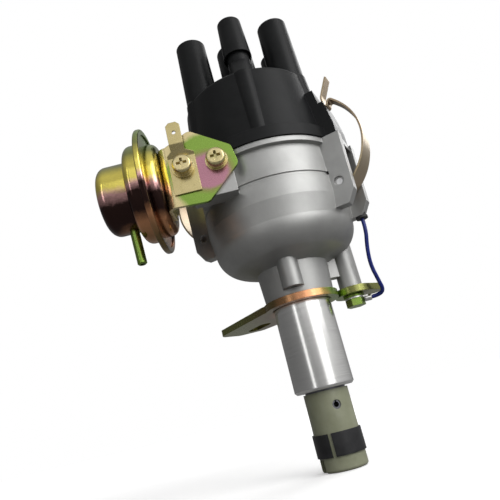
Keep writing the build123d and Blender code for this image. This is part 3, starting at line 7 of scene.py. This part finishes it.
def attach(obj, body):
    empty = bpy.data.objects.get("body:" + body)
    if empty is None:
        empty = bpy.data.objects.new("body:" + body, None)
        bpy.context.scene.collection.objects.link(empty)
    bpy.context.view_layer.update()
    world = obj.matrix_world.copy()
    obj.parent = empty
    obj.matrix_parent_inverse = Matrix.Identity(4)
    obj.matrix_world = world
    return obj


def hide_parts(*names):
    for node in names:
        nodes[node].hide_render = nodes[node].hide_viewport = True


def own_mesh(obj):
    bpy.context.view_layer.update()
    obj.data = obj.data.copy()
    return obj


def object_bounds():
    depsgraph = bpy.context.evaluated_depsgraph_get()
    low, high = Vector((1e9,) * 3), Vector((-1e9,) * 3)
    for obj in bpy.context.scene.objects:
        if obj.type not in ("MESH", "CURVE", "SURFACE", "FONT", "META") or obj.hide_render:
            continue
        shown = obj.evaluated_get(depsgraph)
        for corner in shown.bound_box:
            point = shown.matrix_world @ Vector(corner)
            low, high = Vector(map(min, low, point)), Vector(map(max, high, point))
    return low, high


# Looks for the ignition distributor: finishes, the blue lead, the diaphragm spring, floor,
# lights and camera.
# Everything is in metres, in the frame of the solids, except values given in millimetres.

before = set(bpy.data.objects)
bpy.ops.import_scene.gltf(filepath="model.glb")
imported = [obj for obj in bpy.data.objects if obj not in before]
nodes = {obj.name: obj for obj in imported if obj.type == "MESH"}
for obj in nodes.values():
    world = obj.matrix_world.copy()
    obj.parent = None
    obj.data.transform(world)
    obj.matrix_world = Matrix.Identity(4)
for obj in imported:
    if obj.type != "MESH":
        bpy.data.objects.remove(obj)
cad_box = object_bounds()
MM = 0.001

# Height where the turned shank ends and the blasted casting begins, in millimetres,
# and how far either side of it the two finishes run together
SHANK_TOP = 0.1
SHANK_FADE = 0.1

# Range in which most of a soft noise lies, and its middle
NOISE_LOW = 0.3
NOISE_HIGH = 0.7
NOISE_MIDDLE = 0.5


# Shader building


def add(tree, kind, inputs=None, **settings):
    """New shader node: settings are its properties, inputs its sockets' values or links."""
    node = tree.nodes.new(kind)
    for key, value in settings.items():
        setattr(node, key, value)
    for key, value in (inputs or {}).items():
        if isinstance(value, bpy.types.NodeSocket):
            tree.links.new(value, node.inputs[key])
        else:
            node.inputs[key].default_value = value
    return node


def maths(tree, operation, a, b=0.0, c=0.0):
    """Result of a maths step on numbers or sockets."""
    return add(tree, "ShaderNodeMath", {0: a, 1: b, 2: c}, operation=operation).outputs[0]


def spread(tree, value, low, high, out_low=0.0, out_high=1.0):
    """Value moved from one range to another, held at its ends."""
    inputs = {
        "Value": value,
        "From Min": low,
        "From Max": high,
        "To Min": out_low,
        "To Max": out_high,
    }
    return add(tree, "ShaderNodeMapRange", inputs, clamp=True).outputs[0]


def blend_colour(tree, factor, a, b):
    """Mix of two colours."""
    return add(tree, "ShaderNodeMix", {0: factor, 6: a, 7: b}, data_type="RGBA").outputs[2]


def in_millimetres(tree, stretch=(1, 1, 1)):
    """The piece's own coordinates in millimetres, each axis scaled by stretch."""
    place = add(tree, "ShaderNodeTexCoord").outputs["Object"]
    scale = [1000 * share for share in stretch]
    return add(tree, "ShaderNodeMapping", {"Vector": place, "Scale": scale}).outputs[0]


def noise(tree, vector, scale, detail=2.0, roughness=0.5):
    """Soft noise from 0 to 1; scale is in waves per millimetre."""
    inputs = {"Vector": vector, "Scale": scale, "Detail": detail, "Roughness": roughness}
    return add(tree, "ShaderNodeTexNoise", inputs).outputs["Fac"]


def ramp(tree, value, stops):
    """Colour ramp through (place, colour) stops."""
    node = add(tree, "ShaderNodeValToRGB", {"Fac": value})
    elements = node.color_ramp.elements
    while len(elements) < len(stops):
        elements.new(0.5)
    for element, (place, colour) in zip(elements, stops):
        element.position = place
        element.color = (*colour, 1)
    return node.outputs["Color"]


def two_tone(tree, value, dark, light):
    """Colour that runs from dark to light over the range of a soft noise."""
    return ramp(tree, value, [(NOISE_LOW, dark), (NOISE_HIGH, light)])


def uneven(tree, value, roughness, below=0.04, above=0.06):
    """Roughness that varies with a soft noise, so far below and above its plain value."""
    return spread(tree, value, NOISE_LOW, NOISE_HIGH, roughness - below, roughness + above)


def bump(tree, height, depth, under=None):
    """Surface normal disturbed by a height of that depth in millimetres."""
    inputs = {"Height": height, "Strength": 1.0, "Distance": depth * MM}
    if under is not None:
        inputs["Normal"] = under
    return add(tree, "ShaderNodeBump", inputs).outputs[0]


def soft_edges(tree, radius):
    """Normal that rounds hard edges over a radius in millimetres."""
    return add(tree, "ShaderNodeBevel", {"Radius": radius * MM}, samples=6).outputs[0]


def new_material(name):
    """Material with its tree and its shader, which is joined to the output."""
    material = bpy.data.materials.new(name)
    material.use_nodes = True
    tree = material.node_tree
    tree.nodes.clear()
    shader = add(tree, "ShaderNodeBsdfPrincipled")
    add(tree, "ShaderNodeOutputMaterial", {"Surface": shader.outputs[0]})
    return material, tree, shader


def feed(tree, shader, **sockets):
    """Sets or links the shader's sockets, named with underscores."""
    for key, value in sockets.items():
        socket = shader.inputs[key.replace("_", " ").title().replace("Ior", "IOR")]
        if isinstance(value, bpy.types.NodeSocket):
            tree.links.new(value, socket)
        else:
            socket.default_value = value


def grey(value):
    """Colour with three equal channels."""
    return (value, value, value)


def into_scene(thing):
    """Puts a new object into the scene."""
    bpy.context.scene.collection.objects.link(thing)


# Finishes


def cast_aluminium():
    """Bead-blasted casting whose shank is turned bright."""
    material, tree, shader = new_material("cast_aluminium")
    place = in_millimetres(tree)
    height = add(tree, "ShaderNodeSeparateXYZ", {0: place}).outputs["Z"]
    turned = spread(tree, height, SHANK_TOP - SHANK_FADE, SHANK_TOP + SHANK_FADE, 1.0, 0.0)
    grain = noise(tree, place, scale=2.2, detail=3.0, roughness=0.6)
    cloud = noise(tree, place, scale=0.05, detail=4.0, roughness=0.6)
    bands = noise(tree, in_millimetres(tree, stretch=(0.05, 0.05, 3.0)), scale=1.0, detail=3.0)
    lines = noise(tree, in_millimetres(tree, stretch=(0.02, 0.02, 9.0)), scale=1.0)
    blasted = two_tone(tree, cloud, dark=(0.34, 0.34, 0.332), light=(0.43, 0.43, 0.42))
    bright = two_tone(tree, bands, dark=(0.76, 0.755, 0.745), light=(0.86, 0.855, 0.84))
    shade = blend_colour(tree, turned, blasted, bright)

    # the blasted grain stands 20 times as high as the lines of the lathe
    cast = maths(tree, "SUBTRACT", 1.0, turned)
    faint = maths(tree, "MULTIPLY", turned, 0.05)
    grain_relief = maths(tree, "MULTIPLY", grain, cast)
    line_relief = maths(tree, "MULTIPLY", lines, faint)
    relief = maths(tree, "ADD", grain_relief, line_relief)
    normal = bump(tree, relief, depth=0.03, under=soft_edges(tree, radius=0.35))

    mottle = 0.1
    polish = maths(tree, "ADD", turned, maths(tree, "MULTIPLY", cloud, mottle))
    rough = spread(tree, polish, 0.0, 1.0 + mottle, out_low=0.46, out_high=0.2)
    metallic = spread(tree, turned, 0.0, 1.0, out_low=0.75, out_high=1.0)
    feed(tree, shader, base_color=shade, metallic=metallic, roughness=rough, normal=normal)
    return material


def moulded(name, dark, light, roughness, edge=0.3, depth=0.02, coat=0.0, gloss=0.5):
    """Moulded plastic or rubber with a fine skin."""
    material, tree, shader = new_material(name)
    place = in_millimetres(tree)
    cloud = noise(tree, place, scale=0.12, detail=4.0, roughness=0.6)
    skin = noise(tree, place, scale=1.2, detail=3.0, roughness=0.6)
    shade = two_tone(tree, cloud, dark, light)
    rough = uneven(tree, cloud, roughness, below=0.0, above=0.08)
    normal = bump(tree, skin, depth, soft_edges(tree, edge))
    feed(tree, shader, base_color=shade, roughness=rough, normal=normal)
    feed(tree, shader, coat_weight=coat, specular_ior_level=gloss)
    return material


def metal(name, dark, light, roughness, metallic=1.0):
    """Plain metal with fine working marks."""
    material, tree, shader = new_material(name)
    place = in_millimetres(tree)
    cloud = noise(tree, place, scale=0.15, detail=4.0, roughness=0.6)
    marks = noise(tree, place, scale=3.0, detail=3.0, roughness=0.6)
    shade = two_tone(tree, cloud, dark, light)
    rough = uneven(tree, marks, roughness)
    normal = bump(tree, marks, depth=0.01, under=soft_edges(tree, radius=0.15))
    feed(tree, shader, base_color=shade, metallic=metallic, roughness=rough, normal=normal)
    return material


def zinc(name, stops, drift, patch=0.06, roughness=0.24, mottle=0.35):
    """Passivated zinc whose film shifts in colour.

    drift gives its place on the ramp from the coordinates, patch is the mottle's scale in
    waves per millimetre, and mottle how far it moves that place.
    """
    material, tree, shader = new_material(name)
    place = in_millimetres(tree)
    axes = add(tree, "ShaderNodeSeparateXYZ", {0: place}).outputs
    cloud = noise(tree, place, patch, detail=5.0, roughness=0.55)
    cloud = maths(tree, "SUBTRACT", cloud, NOISE_MIDDLE)
    speck = noise(tree, place, scale=1.4, detail=3.0, roughness=0.7)
    film = maths(tree, "MULTIPLY_ADD", cloud, mottle, drift(tree, axes))
    fleck = maths(tree, "MULTIPLY", maths(tree, "SUBTRACT", speck, NOISE_MIDDLE), 0.04)
    shade = ramp(tree, maths(tree, "ADD", film, fleck), stops)
    rough = uneven(tree, speck, roughness)
    normal = bump(tree, speck, depth=0.012, under=soft_edges(tree, radius=0.25))
    feed(tree, shader, base_color=shade, metallic=0.9, roughness=rough, normal=normal)
    return material


def along(axis, low, high):
    """Drift that runs from 0 to 1 between two places on an axis, in millimetres."""
    return lambda tree, axes: spread(tree, axes[axis], low, high)


def around(x, z, reach):
    """Drift that grows with the distance from a line along Y, to 1 at reach millimetres."""

    def drift(tree, axes):
        dx = maths(tree, "SUBTRACT", axes["X"], x)
        dz = maths(tree, "SUBTRACT", axes["Z"], z)
        square = maths(tree, "MULTIPLY_ADD", dx, dx, maths(tree, "MULTIPLY", dz, dz))
        return maths(tree, "DIVIDE", maths(tree, "SQRT", square), reach)

    return drift


def level(value):
    """Drift that is the same everywhere, so that only the mottle shows."""
    return lambda tree, axes: value


# Colours of the films on the zinc and of the clips; the near-black brown is painted shade, a dark
# reflection on the can
YELLOW = (0.78, 0.66, 0.14)
PALE_GOLD = (0.62, 0.52, 0.28)
DULL_GOLD = (0.5, 0.42, 0.2)
OLIVE = (0.24, 0.25, 0.08)
GREEN = (0.21, 0.33, 0.06)
PINK = (0.4, 0.19, 0.24)
ROSE = (0.85, 0.48, 0.46)
COPPER = (0.68, 0.32, 0.16)
# painted shade: near-black brown that stands for the dark surroundings reflected in the can's
# lower half
PAINTED_DARK_REFLECTION = (0.04, 0.02, 0.017)
UMBER = (0.2, 0.14, 0.06)
TAN = (0.36, 0.24, 0.16)
PALE_TAN = (0.42, 0.33, 0.22)
OLIVE_TAN = (0.33, 0.3, 0.15)

bright_zinc = metal(
    "bright_zinc", dark=(0.62, 0.62, 0.6), light=(0.78, 0.78, 0.75), roughness=0.3
)
steel = metal(
    "machined_steel", dark=(0.42, 0.42, 0.43), light=(0.58, 0.58, 0.58), roughness=0.32
)
dark_steel = metal(
    "tempered_steel", dark=(0.1, 0.1, 0.11), light=(0.2, 0.2, 0.22), roughness=0.35
)
bronze = metal(
    "bearing_bronze", dark=(0.4, 0.25, 0.12), light=(0.55, 0.38, 0.2), roughness=0.4
)
brass = metal("plain_brass", dark=(0.6, 0.43, 0.18), light=(0.75, 0.58, 0.28), roughness=0.3)
black_ring = metal(
    "blackened_steel",
    dark=(0.012, 0.012, 0.013),
    light=(0.03, 0.03, 0.032),
    roughness=0.38,
    metallic=0.3,
)
cap_skin = moulded(
    "cap_moulding",
    dark=(0.006, 0.0065, 0.007),
    light=(0.01, 0.0105, 0.011),
    roughness=0.34,
    gloss=0.14,
)
rotor_skin = moulded(
    "rotor_moulding", dark=(0.09, 0.035, 0.02), light=(0.13, 0.05, 0.03), roughness=0.4
)
carbon_skin = moulded("pressed_carbon", dark=grey(0.02), light=grey(0.05), roughness=0.55)
rubber_skin = moulded("moulded_rubber", dark=grey(0.015), light=grey(0.03), roughness=0.6)
nylon_skin = moulded(
    "ivory_nylon",
    dark=(0.24, 0.25, 0.16),
    light=(0.31, 0.32, 0.22),
    roughness=0.38,
    edge=0.4,
    coat=0.15,
)
lead_skin = moulded(
    "blue_insulation",
    dark=(0.006, 0.014, 0.16),
    light=(0.01, 0.025, 0.25),
    roughness=0.3,
    edge=0.1,
    depth=0.01,
)
casting = cast_aluminium()
# Can colour runs with height: the hue shifts are the zinc film, while the yellow top is painted
# light from above and the near-black band lower down is a painted dark reflection
can_zinc_and_painted_reflection = zinc(
    "can_zinc_and_painted_reflection",
    [
        (0.04, UMBER),
        (0.16, COPPER),
        (0.24, PAINTED_DARK_REFLECTION),
        (0.37, PAINTED_DARK_REFLECTION),
        (0.43, ROSE),
        (0.49, YELLOW),
        (0.6, YELLOW),
        (0.72, OLIVE),
        (0.92, GREEN),
    ],
    along("Z", low=35.0, high=90.0),
    mottle=0.14,
    roughness=0.17,
)
bracket_zinc = zinc(
    "bracket_zinc",
    [(0.25, PINK), (0.4, PINK), (0.5, OLIVE), (0.6, GREEN), (0.88, GREEN), (1.0, PALE_GOLD)],
    around(x=-26.0, z=60.5, reach=20.0),
    mottle=0.3,
)
clip_zinc = zinc(
    "clip_zinc",
    [(0.3, TAN), (0.5, PALE_TAN), (0.7, OLIVE_TAN)],
    level(0.5),
    roughness=0.32,
)
clamp_zinc = zinc(
    "clamp_zinc",
    [(0.2, OLIVE), (0.4, UMBER), (0.55, COPPER), (0.66, COPPER), (0.78, GREEN), (0.95, OLIVE)],
    along("X", low=-45.0, high=32.0),
    mottle=0.3,
)
screw_zinc = zinc(
    "screw_zinc",
    [(0.35, OLIVE), (0.5, PALE_GOLD), (0.65, DULL_GOLD)],
    level(0.5),
    patch=0.2,
)
bolt_zinc = zinc(
    "bolt_zinc", [(0.35, OLIVE), (0.55, GREEN), (0.7, OLIVE)], level(0.5), patch=0.2
)
nipple_zinc = zinc(
    "nipple_zinc", [(0.35, OLIVE), (0.5, GREEN), (0.65, OLIVE)], level(0.5), patch=0.15
)
tab_zinc = zinc(
    "tab_zinc",
    [(0.35, PALE_GOLD), (0.5, DULL_GOLD), (0.65, PALE_GOLD)],
    level(0.5),
    patch=0.12,
)

finishes = {
    casting: ["housing"],
    bronze: ["shaft_bush_lower", "shaft_bush_upper"],
    steel: [
        "drive_shaft",
        "governor_plate",
        "flyweight_1",
        "flyweight_2",
        "cam_sleeve",
        "contact_arm",
        "fixed_contact",
        "pull_rod",
        "diaphragm_plate",
        "clip_pins",
    ],
    dark_steel: [
        "thrust_washer",
        "roll_pin",
        "advance_springs",
        "contact_spring",
        "brush_spring",
        "vacuum_spring",
    ],
    bright_zinc: [
        "breaker_base_plate",
        "base_plate_screws",
        "advance_plate",
        "condenser",
        "ring_terminal",
    ],
    brass: ["rotor_contact", "cap_terminals", "coil_terminal"],
    black_ring: ["retaining_ring"],
    cap_skin: ["cap"],
    rotor_skin: ["rotor"],
    carbon_skin: ["carbon_brush"],
    rubber_skin: ["diaphragm", "lead_grommet"],
    nylon_skin: ["drive_coupling"],
    can_zinc_and_painted_reflection: ["vacuum_shell_inner", "vacuum_shell_outer"],
    bracket_zinc: ["vacuum_bracket"],
    clip_zinc: ["clip_left", "clip_right"],
    clamp_zinc: ["clamp_plate"],
    screw_zinc: ["bracket_screws", "bracket_washers", "spring_washers"],
    bolt_zinc: ["clamp_bolt", "clamp_washer"],
    nipple_zinc: ["vacuum_nipple"],
    tab_zinc: ["blade_terminal"],
    lead_skin: ["blue_lead"],
}
for finish, names in finishes.items():
    for name in names:
        slots = nodes[name].data.materials
        slots.clear()
        slots.append(finish)

# Blue earth lead: one smooth line through the route of its solid, in millimetres
LEAD_DIAMETER = 1.9
lead_route = [
    (38.180, -6.923, 32.4),
    (38.180, -6.923, 26.6),
    (36.6, -4.8, 19.0),
    (36.2, -2.2, 10.8),
    (38.0, -0.2, 3.4),
    (39.6, 2.6, -1.6),
    (36.819, 6.0, -2.6),
    (33.619, 6.0, -2.6),
]
lead_curve = bpy.data.curves.new("lead_insulation", "CURVE")
lead_curve.dimensions = "3D"
lead_curve.bevel_depth = LEAD_DIAMETER / 2 * MM
lead_curve.bevel_resolution = 5
lead_curve.resolution_u = 16
lead_curve.use_fill_caps = True
lead_line = lead_curve.splines.new("NURBS")
lead_line.points.add(len(lead_route) - 1)
for point, place in zip(lead_line.points, lead_route):
    point.co = (*(MM * c for c in place), 1)
lead_line.order_u = 3
lead_line.use_endpoint_u = True
lead_curve.materials.append(lead_skin)
lead = bpy.data.objects.new("lead_insulation", lead_curve)
into_scene(lead)
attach(lead, "distributor_body")
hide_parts("blue_lead")

# Diaphragm spring: a copy of the coil of its solid, with a mesh of its own, shown in place of the
# solid
coil = bpy.data.objects.new("diaphragm_spring", nodes["vacuum_spring"].data.copy())
into_scene(coil)
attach(coil, "distributor_body")
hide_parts("vacuum_spring")
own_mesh(coil)

# Floor under the drive end. It is seen white and lights the object little. It glows less
# near the object, so that the shadow shows. Distances in millimetres, but its reach in metres.
FLOOR_GAP = 0.1
FLOOR_REACH = 6.0
GLOW_NEAR = 150.0
GLOW_FAR = 700.0
MIRRORED_SHARE = 0.12


def seen_by_eye(tree):
    """1 for what the camera sees, straight or through glass, and a share of it in a mirror."""
    path = add(tree, "ShaderNodeLightPath").outputs
    mirrored = maths(tree, "MULTIPLY", path["Is Glossy Ray"], MIRRORED_SHARE)
    either = maths(tree, "MAXIMUM", path["Is Camera Ray"], path["Is Transmission Ray"])
    return maths(tree, "MAXIMUM", either, mirrored)


floor_material, floor_tree, floor_shader = new_material("pale_floor")
seen = seen_by_eye(floor_tree)
floor_place = in_millimetres(floor_tree)
tone = noise(floor_tree, floor_place, scale=0.01, detail=3.0)
pale = two_tone(floor_tree, tone, dark=grey(0.93), light=grey(0.95))
dull = two_tone(floor_tree, tone, dark=grey(0.12), light=grey(0.14))
floor_shade = blend_colour(floor_tree, seen, dull, pale)
distance = add(floor_tree, "ShaderNodeVectorMath", {0: floor_place}, operation="LENGTH")
away = distance.outputs["Value"]
glow = spread(floor_tree, away, GLOW_NEAR, GLOW_FAR, out_low=0.33, out_high=0.78)
seen_glow = maths(floor_tree, "MULTIPLY", seen, glow)
feed(floor_tree, floor_shader, base_color=floor_shade, roughness=0.9)
feed(floor_tree, floor_shader, emission_color=(*grey(1.0), 1), emission_strength=seen_glow)
floor_mesh = bpy.data.meshes.new("floor")
floor_z = cad_box[0][2] - FLOOR_GAP * MM
corners = [
    (-FLOOR_REACH, -FLOOR_REACH, floor_z),
    (FLOOR_REACH, -FLOOR_REACH, floor_z),
    (FLOOR_REACH, FLOOR_REACH, floor_z),
    (-FLOOR_REACH, FLOOR_REACH, floor_z),
]
floor_mesh.from_pydata(corners, [], [(0, 1, 2, 3)])
floor_mesh.materials.append(floor_material)
floor = bpy.data.objects.new("floor", floor_mesh)
into_scene(floor)

# Soft studio light: lamps in metres and watts, turned towards one point
LIT_POINT = Vector((-0.01, 0, 0.035))


def soft_box(name, place, width, height, watts):
    """Lamp that faces the object."""
    lamp = bpy.data.lights.new(name, "AREA")
    lamp.shape = "RECTANGLE"
    lamp.size = width
    lamp.size_y = height
    lamp.energy = watts
    holder = bpy.data.objects.new(name, lamp)
    holder.location = place
    holder.rotation_euler = (LIT_POINT - Vector(place)).to_track_quat("-Z", "Y").to_euler()
    into_scene(holder)


soft_box("key", (0.55, -0.45, 0.42), width=0.5, height=0.6, watts=2.8)
soft_box("front", (0.02, -0.64, 0.34), width=0.5, height=0.4, watts=0.35)
soft_box("left strip", (-0.34, -0.48, 0.12), width=0.08, height=0.7, watts=0.28)
soft_box("right strip", (0.26, -0.48, 0.1), width=0.3, height=0.7, watts=0.72)
soft_box("back", (0.5, 0.5, 0.5), width=0.6, height=0.4, watts=2.0)

# Room: white to the eye, and it lights the object most from above and the right
BRIGHT_SIDE = (0.55, -0.3, 0.78)
ROOM_STRENGTH = 0.8
world = bpy.data.worlds.new("studio")
bpy.context.scene.world = world
world.use_nodes = True
sky = world.node_tree
sky.nodes.clear()
direction = add(sky, "ShaderNodeTexCoord").outputs["Generated"]
facing = add(sky, "ShaderNodeVectorMath", {0: direction, 1: BRIGHT_SIDE}, operation="DOT_PRODUCT")
brightness = spread(sky, facing.outputs["Value"], -1.0, 1.0)
room = ramp(
    sky,
    brightness,
    [(0.25, grey(0.03)), (0.5, grey(0.12)), (0.75, grey(0.5)), (0.95, grey(0.9))],
)
seen_white = {"Color": (*grey(1.0), 1), "Strength": 1.0}
backdrop = add(sky, "ShaderNodeBackground", seen_white).outputs[0]
air = add(sky, "ShaderNodeBackground", {"Color": room, "Strength": ROOM_STRENGTH}).outputs[0]
both = add(sky, "ShaderNodeMixShader", {0: seen_by_eye(sky), 1: air, 2: backdrop}).outputs[0]
add(sky, "ShaderNodeOutputWorld", {"Surface": both})
bpy.context.scene.view_settings.view_transform = "Standard"

# Camera at the photo's place: it looks up a little and is rolled
PITCH = radians(18.14)
ROLL = radians(-13.91)
CAMERA_PLACE = Vector((-0.0174, -0.233, -0.0433))
LENS = 36
SENSOR = 36
forward = Vector((0, cos(PITCH), sin(PITCH)))
sideways = Vector((1, 0, 0))
above = sideways.cross(forward)
right = cos(ROLL) * sideways + sin(ROLL) * above
up = -sin(ROLL) * sideways + cos(ROLL) * above
camera_data = bpy.data.cameras.new("camera")
camera_data.lens = LENS
camera_data.sensor_width = SENSOR
camera_data.clip_start = 0.01
camera = bpy.data.objects.new("camera", camera_data)
columns = Matrix((right, up, -forward)).transposed().to_4x4()
camera.matrix_world = Matrix.Translation(CAMERA_PLACE) @ columns
into_scene(camera)
bpy.context.scene.camera = camera
